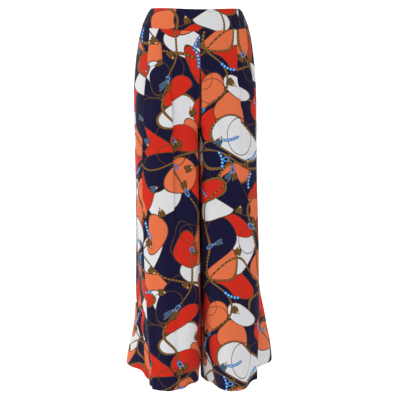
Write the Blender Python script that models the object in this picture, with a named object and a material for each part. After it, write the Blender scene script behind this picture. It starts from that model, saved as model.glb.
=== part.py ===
"""Palazzo pants, worn and filled out with no wearer: a shaped waistband over two wide legs, two
knife pleats on each front, and a concealed centre-back zip with a hinged pull.

Metres, +Z up. +X is the wearer's left and -Y the front. The origin is the centre of the waist
ring, at mid height of the waistband."""

import math
from collections import namedtuple

import bmesh
import bpy
import numpy as np
from mathutils import Matrix, Vector

# Cloth and seams
SEAM_GAP = 0.0003
LEG_WALL = 0.0015
BAND_WALL = 0.0025
BAND_PROUD = 0.0006  # the waistband's layers stand this far out of the leg panels

# Edges of the cloth, as heights at the centre and at the side seam
FRONT_WAIST_EDGE = (0.0225, 0.0280)
BACK_WAIST_EDGE = (0.0300, 0.0280)
FRONT_BAND_SEAM = (-0.0350, -0.0235)
BACK_BAND_SEAM = (-0.0180, -0.0235)
HEM = -1.0010
LEAN_FROM = -0.24  # below this both legs swing a little to +X
LEAN_AT_HEM = 0.011

# Rows and columns of the walls. A panel's columns run between lines: its centre edge, lines round
# the inside of the leg, lines at distances from the middle, and its side edge.
LEG_ROW_STOPS = (0.0, 0.19, 0.28, 0.33, 1.0)  # shares of the leg's length; close set at the crotch
LEG_ROW_COUNTS = (11, 8, 3, 18)
INSIDE_LINES = (0.25, 0.50, 0.75)  # of the way from the inseam round to the first line at the front
LINE_GAP = math.radians(0.6)  # what is left between those lines above the crotch
FRONT_LINES = (0.14, 0.32, 0.55, 0.78)  # of the inner pleat's distance from the middle
FRONT_STEPS = (1,) * 9 + (4, 1, 6)  # columns between the lines, pleats included
BACK_LINES = (0.012, 0.030, 0.052, 0.076, 0.100, 0.122)
BACK_STEPS = (1,) * 9 + (9,)
BAND_COLUMNS = 12  # from a side seam to the centre
BAND_ROWS = 5
PLEAT_WIDTH = 0.004  # across the sloping wall of a pleat's step

# Zip
ZIP_TOP = 0.0240
ZIP_BOTTOM = -0.1600
TAPE_HALF_WIDTH = 0.012
TAPE_THICKNESS = 0.0010
TAPE_COLUMNS = 5
TAPE_ROWS = 22
TAPE_STEP = 0.008  # height over which the tapes step in from the leg panels to the waistband
SLIDER_HEIGHT_AT = 0.0165  # the slider's middle
SLIDER_SIZE = Vector((0.0046, 0.0031, 0.0080))
SLIDER_PROUD = 0.0006
SLOT_HALF_WIDTH = 0.0027  # how far the waistband's back edges part round the slider
SLOT_FROM = 0.0040
SLOT_FULL_AT = 0.0110
BRIDGE_RADIUS = 0.0019
BRIDGE_HOLE = 0.0011
BRIDGE_WIDTH = 0.0015
PIVOT_OUT = 0.0019  # the pull's axis, out of the cloth
PULL_THICKNESS = 0.0010
PULL_EYE_HALF_WIDTH = 0.0011
PULL_EYE_DEPTH = 0.0029
PULL_TOP_HALF_WIDTH = 0.0021
PULL_TOP_DEPTH = 0.0038
PULL_NECK_HALF_WIDTH = 0.0012
PULL_NECK_DEPTH = 0.0055
PULL_END_HALF_WIDTH = 0.0026
PULL_LENGTH = 0.0200


class Table:
    """Rows of named columns. The first column is a height, and it runs down the rows."""

    def __init__(self, names, rows):
        self.names = names
        self.rows = np.array(rows)

    def at(self, name, height):
        """A column's value at each height, on a smooth curve that never overshoots the rows."""
        down = -self.rows[:, 0]
        values = self.rows[:, self.names.index(name)]
        steps = np.diff(values) / np.diff(down)
        slopes = np.zeros(len(values))
        before, after = steps[:-1], steps[1:]
        same_way = before * after > 0
        slopes[1:-1][same_way] = (2 * before * after)[same_way] / (before + after)[same_way]
        where = np.clip(-np.asarray(height, float), down[0], down[-1])
        row = np.clip(np.searchsorted(down, where, side="right") - 1, 0, len(down) - 2)
        span = down[row + 1] - down[row]
        s = (where - down[row]) / span
        return ((2 * s**3 - 3 * s**2 + 1) * values[row] + (s**3 - 2 * s**2 + s) * span * slopes[row]
                + (3 * s**2 - 2 * s**3) * values[row + 1] + (s**3 - s**2) * span * slopes[row + 1])


# One half of the garment: how far its ring reaches outward, towards the other leg (negative: past
# the middle), to the front and to the back, and how square its corners are on the side of the
# other leg, at the front and at the back.
SECTIONS = Table(("height", "outer", "inner", "front", "back", "inner_square", "front_square",
                  "back_square"), (
    (0.032, 0.1180, -0.1180, -0.0895, 0.0905, 2.2, 2.20, 2.2),
    (0.020, 0.1265, -0.1265, -0.0910, 0.0935, 2.2, 2.20, 2.2),
    (0.000, 0.1365, -0.1365, -0.0930, 0.0985, 2.2, 2.20, 2.2),
    (-0.025, 0.1460, -0.1460, -0.0965, 0.1050, 2.2, 2.20, 2.2),
    (-0.055, 0.1535, -0.1535, -0.1005, 0.1135, 2.2, 2.25, 2.2),
    (-0.110, 0.1610, -0.1580, -0.1060, 0.1265, 2.3, 2.35, 2.3),
    (-0.150, 0.1645, -0.1390, -0.1080, 0.1305, 2.4, 2.40, 2.3),
    (-0.190, 0.1670, -0.1015, -0.1105, 0.1325, 2.6, 2.40, 2.3),
    (-0.230, 0.1675, -0.0580, -0.1130, 0.1320, 3.2, 2.45, 2.3),
    (-0.260, 0.1675, -0.0255, -0.1145, 0.1305, 3.8, 2.50, 2.3),
    (-0.280, 0.1675, -0.0075, -0.1155, 0.1295, 4.0, 2.50, 2.3),
    (-0.295, 0.1675, 0.0012, -0.1160, 0.1290, 4.0, 2.50, 2.4),
    (-0.405, 0.1665, 0.0013, -0.1210, 0.1260, 3.0, 2.50, 2.4),
    (-0.585, 0.1685, 0.0014, -0.1260, 0.1255, 2.4, 2.40, 2.4),
    (-0.790, 0.1710, 0.0022, -0.1295, 0.1275, 2.0, 2.10, 2.3),
    (-1.000, 0.1715, 0.0042, -0.1340, 0.1320, 1.6, 1.90, 2.2),
))

# The pleats of the two fronts: distance of the fold from the middle, and how far its centre side
# stands out of its outer side (negative once the fold, let go, has rolled the other way).
PLEATS = {
    -1: {
        "inner": Table(("height", "place", "step"), (
            (-0.025, 0.1005, 0.0020),
            (-0.095, 0.0980, 0.0050),
            (-0.140, 0.0935, 0.0025),
            (-0.180, 0.0830, -0.0020),
            (-0.230, 0.0750, -0.0060),
            (-0.405, 0.0755, -0.0070),
            (-0.505, 0.0760, -0.0045),
            (-0.605, 0.0765, -0.0015),
            (-0.790, 0.0795, -0.0030),
            (-1.000, 0.0810, -0.0015),
        )),
        "outer": Table(("height", "place", "step"), (
            (-0.025, 0.1290, 0.0020),
            (-0.110, 0.1345, 0.0060),
            (-0.230, 0.1465, 0.0090),
            (-0.435, 0.1530, 0.0100),
            (-0.585, 0.1540, 0.0100),
            (-0.840, 0.1505, 0.0130),
            (-1.000, 0.1440, 0.0140),
        )),
    },
    1: {
        "inner": Table(("height", "place", "step"), (
            (-0.025, 0.0995, 0.0020),
            (-0.095, 0.0990, 0.0055),
            (-0.160, 0.0990, 0.0055),
            (-0.200, 0.1070, 0.0035),
            (-0.315, 0.1040, 0.0030),
            (-0.405, 0.1035, 0.0025),
            (-0.505, 0.1030, 0.0010),
            (-1.000, 0.1015, 0.0010),
        )),
        "outer": Table(("height", "place", "step"), (
            (-0.025, 0.1315, 0.0020),
            (-0.090, 0.1345, 0.0060),
            (-0.140, 0.1425, 0.0080),
            (-0.195, 0.1490, 0.0090),
            (-0.435, 0.1540, 0.0090),
            (-0.585, 0.1555, 0.0100),
            (-0.840, 0.1540, 0.0130),
            (-1.000, 0.1500, 0.0140),
        )),
    },
}
PLEAT_REACH = {"inner": (0.026, 0.020), "outer": (0.018, 0.014)}  # soft roll on each side of a fold

# Long soft folds that grow down to the hem, placed by degrees round the ring: 0 towards the other
# leg, 90 at the front, 180 at the side, 270 at the back.
Fold = namedtuple("Fold", ("side", "at_top", "at_hem", "start", "reach", "half_width"))
FOLDS = tuple(Fold(*row) for row in (
    (-1, 92, 92, -0.54, -0.010, 24),
    (-1, 166, 158, -0.59, -0.026, 28),
    (-1, 292, 296, -0.27, 0.009, 15),
    (-1, 264, 266, -0.33, -0.012, 15),
    (1, 80, 76, -0.61, 0.014, 14),
    (1, 168, 160, -0.61, -0.015, 26),
    (1, 298, 302, -0.29, 0.008, 15),
    (1, 272, 272, -0.29, -0.013, 15),
    (1, 246, 248, -0.33, 0.006, 12),
))
FOLD_FADE = 0.025  # distance from a centre edge over which folds grow

# The back panels swing out at the outer corner: the way round the ring, how wide, how much the hem
# lifts there, and how far they reach out at each height.
Flare = namedtuple("Flare", ("angle", "half_width", "lift", "reach"))
FLARES = {
    -1: Flare(math.radians(224), math.radians(42), 0.014, Table(("height", "reach"), (
        (-0.485, 0.000),
        (-0.625, 0.006),
        (-0.750, 0.012),
        (-0.840, 0.019),
        (-0.915, 0.034),
        (-0.950, 0.043),
        (-1.000, 0.051),
    ))),
    1: Flare(math.radians(217), math.radians(32), 0.024, Table(("height", "reach"), (
        (-0.645, 0.000),
        (-0.770, 0.014),
        (-0.840, 0.031),
        (-0.890, 0.042),
        (-0.935, 0.059),
        (-1.000, 0.073),
    ))),
}

PRINTED_CREPE = (0.36, 0.17, 0.16, 1.0)
NAVY_TAPE = (0.010, 0.010, 0.035, 1.0)
ZIP_METAL = (0.10, 0.10, 0.12, 1.0)


def eased(share):
    """0 to 1 with a soft start and end."""
    share = np.clip(share, 0, 1)
    return share * share * (3 - 2 * share)


def half_ring(height):
    """The centre and half sizes of one half's ring, on the +X side."""
    outer, inner = SECTIONS.at("outer", height), SECTIONS.at("inner", height)
    front, back = SECTIONS.at("front", height), SECTIONS.at("back", height)
    return (outer + inner) / 2, (front + back) / 2, (outer - inner) / 2, (back - front) / 2


def squareness(height, towards_other_leg, front):
    """The power that rounds a corner of the ring."""
    outside = np.where(front, SECTIONS.at("front_square", height), SECTIONS.at("back_square", height))
    return np.where(towards_other_leg, SECTIONS.at("inner_square", height), outside)


def angle_at(place, height, front=True):
    """The way round the ring, from the inner side over the front, to a distance from the middle."""
    centre_x, _, half_x, half_y = half_ring(height)
    across = np.clip((centre_x - place) / half_x, -1, 1)
    power = squareness(height, across > 0, front)
    along = half_y * (1 - np.abs(across) ** power) ** (1 / power)
    angle = np.arctan2(along, across * half_x)
    return angle if front else 2 * math.pi - angle


def centre_edge(height, gap, front=True):
    """The way round to a panel's centre edge: at the middle, then along the inside of the leg."""
    angle = angle_at(gap / 2, height, front)
    away = gap / 2 / half_ring(height)[2]
    if front:
        return np.hypot(angle, away)
    return 2 * math.pi - np.hypot(2 * math.pi - angle, away)


def side_edge(height, gap, front=True):
    """The way round to a panel's edge at the side seam."""
    away = gap / 2 / half_ring(height)[2]
    return math.pi - away if front else math.pi + away


def surface(side, height, angle, outward=0.0):
    """Points of one half's outer face, moved outward: side is 1 for the wearer's left."""
    centre_x, centre_y, half_x, half_y = half_ring(height)
    power = squareness(height, np.cos(angle) > 0, np.sin(angle) >= 0)
    across, along = np.abs(np.cos(angle) / half_x), np.abs(np.sin(angle) / half_y)
    flare = FLARES[side]
    swing = np.cos(np.clip((angle - flare.angle) / flare.half_width, -1, 1) * math.pi / 2) ** 2
    reach = flare.reach.at("reach", height) * swing
    radius = (across**power + along**power) ** (-1 / power) + reach + outward
    lean = LEAN_AT_HEM * eased((LEAN_FROM - height) / (LEAN_FROM - HEM))
    x = side * (centre_x - radius * np.cos(angle)) + lean
    y = centre_y - radius * np.sin(angle)
    lifted = flare.lift * reach / flare.reach.at("reach", HEM)
    return np.stack([x, y, height + lifted], axis=-1)


def pleat_relief(side, height, angle):
    """How far a front stands in or out beside its two pleats."""
    half_x = half_ring(height)[2]
    relief = np.zeros_like(angle)
    for name, pleat in PLEATS[side].items():
        step = pleat.at("step", height)
        away = (angle - angle_at(pleat.at("place", height), height)) * half_x
        centre_reach, outer_reach = PLEAT_REACH[name]
        relief += np.where(away < 0, step / 2 * np.exp(np.minimum(away, 0) / centre_reach),
                           -step / 2 * np.exp(-np.maximum(away, 0) / outer_reach))
    return relief * eased((math.pi - angle) * half_x / FOLD_FADE)


def relief(side, height, angle, front):
    """How far a leg panel stands in or out for its pleats and its long soft folds."""
    total = pleat_relief(side, height, angle) if front else np.zeros_like(angle)
    for fold in FOLDS:
        if fold.side == side:
            down = eased((fold.start - height) / (fold.start - HEM))
            middle = fold.at_top + (fold.at_hem - fold.at_top) * down
            total += fold.reach * down * np.exp(-(((np.degrees(angle) - middle) / fold.half_width) ** 2))
    from_edge = np.abs(angle - centre_edge(height, SEAM_GAP, front)) * half_ring(height)[2]
    return total * eased(from_edge / FOLD_FADE)


def spread(counts, stops):
    """Even steps between stops, with a count of steps for each stretch."""
    steps = [np.linspace(a, b, n, endpoint=False) for a, b, n in zip(stops[:-1], stops[1:], counts)]
    return np.concatenate(steps + [np.array([stops[-1]])])


def between(edge, share):
    """A height that eases from its centre value to its side value."""
    return edge[0] + (edge[1] - edge[0]) * np.sin(share * math.pi / 2) ** 2


def leg_heights(seam, share):
    """Heights over a leg panel, rows down and columns across, from the waistband's seam to the hem."""
    down = spread(LEG_ROW_COUNTS, LEG_ROW_STOPS)[:, None]
    top = between(seam, share)[None, :] - SEAM_GAP
    return top + (HEM - top) * down


def centre_lines(height, places, front):
    """A panel's lines from its centre edge to the last of some distances from the middle."""
    edge = centre_edge(height, SEAM_GAP, front)
    outward = [angle_at(place, height, front) for place in places]
    inseam = 0 if front else 2 * math.pi
    inside = []
    for number, share in enumerate(INSIDE_LINES, 1):
        line = inseam + (outward[0] - inseam) * share
        clear = number * LINE_GAP
        inside.append(np.maximum(line, edge + clear) if front else np.minimum(line, edge - clear))
    return [edge] + inside + outward


def columns_between(lines, steps):
    """Evenly spaced columns between lines, each line an angle at every row and column."""
    lines = np.array(lines)
    position = spread(steps, np.arange(len(steps) + 1))
    line = np.clip(position.astype(int), 0, len(steps) - 1)
    rows, columns = np.indices(lines.shape[1:])
    before, after = lines[line[columns], rows, columns], lines[line[columns] + 1, rows, columns]
    return before + (after - before) * (position - line)


def front_angles(side, height):
    """The way round to each column of a front, which keeps beside the folds of its pleats."""
    inner = PLEATS[side]["inner"].at("place", height)
    lines = centre_lines(height, [share * inner for share in FRONT_LINES], True)
    half_step = PLEAT_WIDTH / 2 / half_ring(height)[2]
    for pleat in PLEATS[side].values():
        fold = angle_at(pleat.at("place", height), height)
        lines += [fold - half_step, fold + half_step]
    lines.append(side_edge(height, SEAM_GAP))
    return columns_between(lines, FRONT_STEPS)


def back_angles(height):
    """The way round to each column of a back."""
    lines = centre_lines(height, BACK_LINES, False)
    lines.append(side_edge(height, SEAM_GAP, False))
    return columns_between(lines, BACK_STEPS)


def cloth(side, height, angle, front):
    """The outer and inner points of a leg panel."""
    out = relief(side, height, angle, front)
    return surface(side, height, angle, out), surface(side, height, angle, out - LEG_WALL)


def front_panel(side):
    at_seam = front_angles(side, np.full((1, sum(FRONT_STEPS) + 1), sum(FRONT_BAND_SEAM) / 2))[0]
    height = leg_heights(FRONT_BAND_SEAM, 2 * at_seam / math.pi - 1)
    return cloth(side, height, front_angles(side, height), True)


def back_panel(side):
    at_seam = back_angles(np.full((1, sum(BACK_STEPS) + 1), sum(BACK_BAND_SEAM) / 2))[0]
    height = leg_heights(BACK_BAND_SEAM, 3 - 2 * at_seam / math.pi)
    return cloth(side, height, back_angles(height), False)


def band_half(side, front):
    """Outer and inner points of half the waistband's front or back, from the centre to the side."""
    waist, seam = (FRONT_WAIST_EDGE, FRONT_BAND_SEAM) if front else (BACK_WAIST_EDGE, BACK_BAND_SEAM)
    share = np.linspace(0, 1, BAND_COLUMNS + 1)
    top, bottom = between(waist, share), between(seam, share)
    height = top + (bottom - top) * np.linspace(0, 1, BAND_ROWS + 1)[:, None]
    if front:
        start, end = math.pi / 2 + 0 * height, side_edge(height, SEAM_GAP)
    else:
        slot = eased((height - SLOT_FROM) / (SLOT_FULL_AT - SLOT_FROM))
        place = SEAM_GAP / 2 + (SLOT_HALF_WIDTH - SEAM_GAP / 2) * slot
        start, end = angle_at(place, height, False), side_edge(height, SEAM_GAP, False)
    angle = start + (end - start) * share
    return (surface(side, height, angle, BAND_PROUD),
            surface(side, height, angle, BAND_PROUD - BAND_WALL))


def back_skin(x, height, inward):
    """Points near the centre back, this far inside the outer face."""
    points = surface(1, height, angle_at(np.abs(x), height, False), -inward)
    points[..., 0] = x
    return points


def zip_tape_walls():
    """Outer and inner points of the zip's tapes, which lie against the inside of the back."""
    height = np.linspace(ZIP_TOP, ZIP_BOTTOM, TAPE_ROWS)[:, None] + np.zeros(TAPE_COLUMNS)
    x = np.linspace(-TAPE_HALF_WIDTH, TAPE_HALF_WIDTH, TAPE_COLUMNS) + 0 * height
    below_band = eased((BACK_BAND_SEAM[0] - height) / TAPE_STEP)
    wall = (BAND_WALL - BAND_PROUD) * (1 - below_band) + LEG_WALL * below_band
    return back_skin(x, height, wall + SEAM_GAP), back_skin(x, height, wall + SEAM_GAP + TAPE_THICKNESS)


def material(name, colour, roughness, metallic=0.0):
    made = bpy.data.materials.new(name)
    made.use_nodes = True
    shader = made.node_tree.nodes["Principled BSDF"]
    shader.inputs["Base Color"].default_value = colour
    shader.inputs["Roughness"].default_value = roughness
    shader.inputs["Metallic"].default_value = metallic
    return made


def add_object(name, mesh, look):
    """A scene object from a mesh, with its material."""
    mesh.materials.append(look)
    made = bpy.data.objects.new(name, mesh)
    bpy.context.scene.collection.objects.link(made)
    return made


def wall_between(name, outer, inner, look):
    """A closed wall between two grids of points with the same rows and columns."""
    rows, columns = outer.shape[:2]
    work = bmesh.new()
    grids = [[[work.verts.new(point) for point in row] for row in grid] for grid in (outer, inner)]
    for grid in grids:
        for i in range(rows - 1):
            for j in range(columns - 1):
                work.faces.new((grid[i][j], grid[i + 1][j], grid[i + 1][j + 1], grid[i][j + 1]))
    face, lining = grids
    rim = ([(0, j) for j in range(columns - 1)] + [(i, columns - 1) for i in range(rows - 1)]
           + [(rows - 1, j) for j in range(columns - 1, 0, -1)] + [(i, 0) for i in range(rows - 1, 0, -1)])
    for (i, j), (k, m) in zip(rim, rim[1:] + rim[:1]):
        work.faces.new((face[i][j], face[k][m], lining[k][m], lining[i][j]))
    bmesh.ops.recalc_face_normals(work, faces=work.faces)
    mesh = bpy.data.meshes.new(name)
    work.to_mesh(mesh)
    work.free()
    mesh.shade_smooth()
    return add_object(name, mesh, look)


def make_waistband(look):
    left, right = band_half(1, True), band_half(-1, True)
    front = [np.concatenate([grid_right[:, :0:-1], grid_left], axis=1)
             for grid_left, grid_right in zip(left, right)]
    wall_between("waistband_front", *front, look)
    wall_between("waistband_back_left", *band_half(1, False), look)
    wall_between("waistband_back_right", *band_half(-1, False), look)


def make_legs(look):
    for side, word in ((1, "left"), (-1, "right")):
        wall_between(f"front_{word}", *front_panel(side), look)
        wall_between(f"back_{word}", *back_panel(side), look)


def zip_frame():
    """Where the slider sits: on the outer face at centre back, +Y out of the cloth, +Z up along it."""
    heights = np.array([SLIDER_HEIGHT_AT, SLIDER_HEIGHT_AT - PULL_LENGTH])
    upper, lower = (Vector(point) for point in back_skin(np.zeros(2), heights, -BAND_PROUD))
    up = (upper - lower).normalized()
    out = up.cross(Vector((1, 0, 0))) * -1
    out = out if out.y > 0 else -out
    turn = Matrix((Vector((1, 0, 0)), out, up)).transposed().to_4x4()
    return Matrix.Translation(upper) @ turn


def box_mesh(work, size, centre):
    made = bmesh.ops.create_cube(work, size=1.0)
    bmesh.ops.scale(work, vec=size, verts=made["verts"])
    bmesh.ops.translate(work, vec=centre, verts=made["verts"])


def rod_mesh(work, radius, length, centre, sides=24):
    """A round rod along X."""
    turn = Matrix.Rotation(math.pi / 2, 3, "Y")
    bmesh.ops.create_cone(work, cap_ends=True, segments=sides, radius1=radius, radius2=radius,
                          depth=length, matrix=Matrix.Translation(centre) @ turn.to_4x4())


def helper(name, build):
    """An object that only shapes another one."""
    work = bmesh.new()
    build(work)
    mesh = bpy.data.meshes.new(name)
    work.to_mesh(mesh)
    work.free()
    made = bpy.data.objects.new(name, mesh)
    bpy.context.scene.collection.objects.link(made)
    made.hide_render = True
    made.display_type = "WIRE"
    return made


def join_with(target, other, operation):
    cut = target.modifiers.new(other.name, "BOOLEAN")
    cut.operation = operation
    cut.object = other


def make_slider(frame, look):
    """The slider's body in the slot, with a bridge that the pull swings in."""
    middle = Vector((0, SLIDER_PROUD - SLIDER_SIZE.y / 2, 0))
    pivot = Vector((0, PIVOT_OUT, 0))
    work = bmesh.new()
    box_mesh(work, SLIDER_SIZE, middle)
    mesh = bpy.data.meshes.new("zip_slider")
    work.to_mesh(mesh)
    work.free()
    slider = add_object("zip_slider", mesh, look)
    bridge = helper("slider_bridge", lambda w: rod_mesh(w, BRIDGE_RADIUS, BRIDGE_WIDTH, pivot))
    hole = helper("slider_hole", lambda w: rod_mesh(w, BRIDGE_HOLE, 2 * BRIDGE_WIDTH, pivot))
    join_with(slider, bridge, "UNION")
    join_with(slider, hole, "DIFFERENCE")
    for piece in (slider, bridge, hole):
        piece.matrix_world = frame


def pull_outline():
    """The pull's half width down its length, from the bar it swings on to its round end."""
    bar = PULL_THICKNESS / 2
    end = PULL_LENGTH - PULL_END_HALF_WIDTH
    outline = [(PULL_TOP_HALF_WIDTH, bar), (PULL_TOP_HALF_WIDTH, -PULL_TOP_DEPTH),
               (PULL_NECK_HALF_WIDTH, -PULL_NECK_DEPTH), (PULL_END_HALF_WIDTH, -end)]
    outline += [(PULL_END_HALF_WIDTH * math.cos(a), -end - PULL_END_HALF_WIDTH * math.sin(a))
                for a in np.linspace(0, math.pi / 2, 7)[1:]]
    return outline + [(-x, z) for x, z in reversed(outline[:-1])]


def make_pull(frame, look):
    """The tab, with an eye for the bridge. Its origin is on the bar that it turns about."""
    bar = PULL_THICKNESS / 2
    work = bmesh.new()
    flat = work.faces.new([work.verts.new((x, -bar, z)) for x, z in pull_outline()])
    raised = bmesh.ops.extrude_face_region(work, geom=[flat])
    bmesh.ops.translate(work, vec=(0, PULL_THICKNESS, 0),
                        verts=[v for v in raised["geom"] if isinstance(v, bmesh.types.BMVert)])
    bmesh.ops.recalc_face_normals(work, faces=work.faces)
    mesh = bpy.data.meshes.new("zip_pull")
    work.to_mesh(mesh)
    work.free()
    pull = add_object("zip_pull", mesh, look)
    size = Vector((2 * PULL_EYE_HALF_WIDTH, 2 * PULL_THICKNESS, PULL_EYE_DEPTH - bar))
    centre = Vector((0, 0, -(PULL_EYE_DEPTH + bar) / 2))
    eye = helper("pull_eye", lambda w: box_mesh(w, size, centre))
    join_with(pull, eye, "DIFFERENCE")
    for piece in (pull, eye):
        piece.matrix_world = frame @ Matrix.Translation((0, PIVOT_OUT, 0))


def main():
    for old in list(bpy.data.objects):
        bpy.data.objects.remove(old)
    crepe = material("printed crepe", PRINTED_CREPE, 0.7)
    metal = material("zip metal", ZIP_METAL, 0.35, 1.0)
    make_waistband(crepe)
    make_legs(crepe)
    wall_between("zip_tape", *zip_tape_walls(), material("zip tape", NAVY_TAPE, 0.8))
    frame = zip_frame()
    make_slider(frame, metal)
    make_pull(frame, metal)


main()
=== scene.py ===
"""Looks of the palazzo pants: printed crepe panels with pressed pleats, seams, hems and stitching."""

import math
import random
from collections import namedtuple

import bpy
import numpy as np
from mathutils import Matrix, Vector


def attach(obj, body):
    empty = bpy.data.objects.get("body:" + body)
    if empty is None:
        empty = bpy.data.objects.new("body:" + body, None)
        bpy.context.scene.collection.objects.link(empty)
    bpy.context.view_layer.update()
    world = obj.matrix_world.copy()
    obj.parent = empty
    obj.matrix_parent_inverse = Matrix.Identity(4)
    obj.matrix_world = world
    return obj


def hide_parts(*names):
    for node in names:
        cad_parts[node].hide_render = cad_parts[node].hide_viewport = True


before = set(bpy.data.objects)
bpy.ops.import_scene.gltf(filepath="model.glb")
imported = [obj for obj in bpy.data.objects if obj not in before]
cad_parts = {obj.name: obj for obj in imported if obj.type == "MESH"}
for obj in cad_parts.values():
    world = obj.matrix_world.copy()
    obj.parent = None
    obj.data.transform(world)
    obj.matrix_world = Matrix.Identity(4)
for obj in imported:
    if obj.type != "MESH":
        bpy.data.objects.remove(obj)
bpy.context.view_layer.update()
FULL_TURN = 2 * math.pi

# Cloth
SEAM_GAP = 0.0003
CREPE = 0.0007  # thickness of the leg panels
BAND = 0.0019  # thickness of the waistband, two layers
BAND_PROUD = 0.0006
EDGE_ROLL = 0.0018  # width over which a panel's edge turns into its seam
EDGE_DEPTH = 0.0008
HEM_DEEP = 0.0080  # height of the turned-up hem
HEM_EXTRA = 0.0008  # what the turned-up layer adds to the thickness
HEM_RIDGE = 0.00035  # where the turned-up layer ends
HEM_GATHER = 0.00030
PUCKER = 0.00028  # beside the leg panels' seams
PUCKER_PITCH = 1 / 62
UNEVENNESS = 0.00045
CREASE_WANDER = 1.6  # degrees to each side of a crease's line
RIM_ROUND = 0.35  # how far a shell's rim stands out, as a share of its thickness

# Edges of the cloth, as heights at the centre and at the side seam
FRONT_WAIST_EDGE = (0.0225, 0.0280)
BACK_WAIST_EDGE = (0.0300, 0.0280)
FRONT_BAND_SEAM = (-0.0350, -0.0235)
BACK_BAND_SEAM = (-0.0180, -0.0235)
HEM = -1.0010
LEAN_FROM = -0.24
LEAN_AT_HEM = 0.011

DART_PLACE = 0.066
DART_LENGTH = 0.095
DART_HALF_WIDTH = 0.0016
DART_DEPTH = 0.0011
DART_INTAKE = 0.018

# A panel's columns run between lines, and a count is the number of columns from one to the next
INSIDE_LINES = (0.25, 0.50, 0.75)
LINE_GAP = math.radians(1.3)
FRONT_LINES = (0.14, 0.32, 0.55, 0.78)
FRONT_COUNTS = (4, 3, 3, 3, 10, 5, 5, 5, 6)  # from the centre edge to the inner pleat
BETWEEN_PLEATS = 14
SIDE_COUNTS = (12, 4)
BACK_PLACES = (0.012, 0.030, 0.050, DART_PLACE - DART_HALF_WIDTH, DART_PLACE + DART_HALF_WIDTH,
               0.084, 0.104, 0.122)
BACK_COUNTS = (4, 3, 3, 3, 3, 3, 4, 5, 3, 4, 5, 5, 28, 4)
DART_SPAN = 8  # which of those counts is the dart's
DART_COLUMN = sum(BACK_COUNTS[:DART_SPAN])
FOLD_COUNTS = (9, 4, 9)  # in a fold: out, under and back
PLEAT_COUNTS = (*FOLD_COUNTS, BETWEEN_PLEATS, *FOLD_COUNTS)

# Its rows
BODY_ROWS = 212
TOP_ROWS = (0.0, 0.0003, 0.0008, 0.0015, 0.0025, 0.0045)  # below the waistband seam
HEM_ROWS = (0.0115, 0.0092, 0.0084, 0.0079, 0.0070, 0.0050, 0.0030, 0.0015, 0.0006, 0.0)  # above the hem

# The waistband's columns, as shares of the way from the centre to the side seam, and its rows
BAND_SHARES = np.array([0, 0.001, 0.003, 0.006, *np.linspace(0, 1, 65)[1:-1], 0.994, 0.997, 0.999, 1])
BAND_ROWS = (0.0, 0.0004, 0.0010, 0.0020, 0.0034, 0.0046, 0.0052, 0.0058, 0.0070,
             *np.linspace(0.0090, 0.0400, 15))  # below the top edge, where the band is BAND_HEIGHT high
BAND_HEIGHT = 0.0450
BAND_FOOT_ROWS = (0.0030, 0.0018, 0.0010, 0.0005, 0.0)  # above the seam

# Zip
SLOT_HALF_WIDTH = 0.0027
SLOT_FROM = 0.0040
SLOT_FULL_AT = 0.0110
TOOTH_PITCH = 0.0013
TOOTH_SIZE = (0.0023, 0.0006, 0.00046)  # half width, half depth, half height
TOOTH_SUNK = 0.6  # into the tape, in half depths
TOOTH_SLANT = 0.00022
TOOTH_RINGS = ((-1.0, 0.35), (-0.82, 0.9), (0.0, 0.72), (0.82, 0.9), (1.0, 0.35))  # along, fat
COIL_FROM = 0.0110
COIL_TO = -0.1565
TAPE_SEWN_AT = 0.0042  # from the middle

# Stitches
STITCH_LENGTH = 0.0026
STITCH_PITCH = 0.0033
STITCH_RADIUS = 0.00020
STITCH_RINGS = ((0.0, 0.35, -0.5), (0.16, 0.9, 0.1), (0.5, 1.0, 0.45), (0.84, 0.9, 0.1),
                (1.0, 0.35, -0.5))  # along, fat, lift
TOPSTITCH_BELOW = 0.0052
BAND_STITCH_ROW = 6  # rows down a waistband, and a leg panel's rows from its end
HEM_STITCH_ROW = -6
BAR_SIDES = 6  # of a stitch or a tooth


class Table:
    """Rows of named columns. The first column is a height, and it runs down the rows."""

    def __init__(self, names, rows):
        self.names = names
        self.rows = np.array(rows)

    def at(self, name, height):
        """A column's value at each height, on a smooth curve that never overshoots the rows."""
        down = -self.rows[:, 0]
        values = self.rows[:, self.names.index(name)]
        steps = np.diff(values) / np.diff(down)
        before, after = steps[:-1], steps[1:]
        same_way = before * after > 0
        slopes = np.zeros(len(values))
        slopes[1:-1][same_way] = (2 * before * after)[same_way] / (before + after)[same_way]
        where = np.clip(-np.asarray(height, float), down[0], down[-1])
        row = np.clip(np.searchsorted(down, where, side="right") - 1, 0, len(down) - 2)
        span = down[row + 1] - down[row]
        s = (where - down[row]) / span
        return ((2 * s**3 - 3 * s**2 + 1) * values[row] + (s**3 - 2 * s**2 + s) * span * slopes[row]
                + (3 * s**2 - 2 * s**3) * values[row + 1] + (s**3 - s**2) * span * slopes[row + 1])


def by_side(kind, right, left):
    """Rows for the wearer's right half and left half, each a kind of named tuple."""
    return {-1: [kind(*row) for row in right], 1: [kind(*row) for row in left]}


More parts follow.
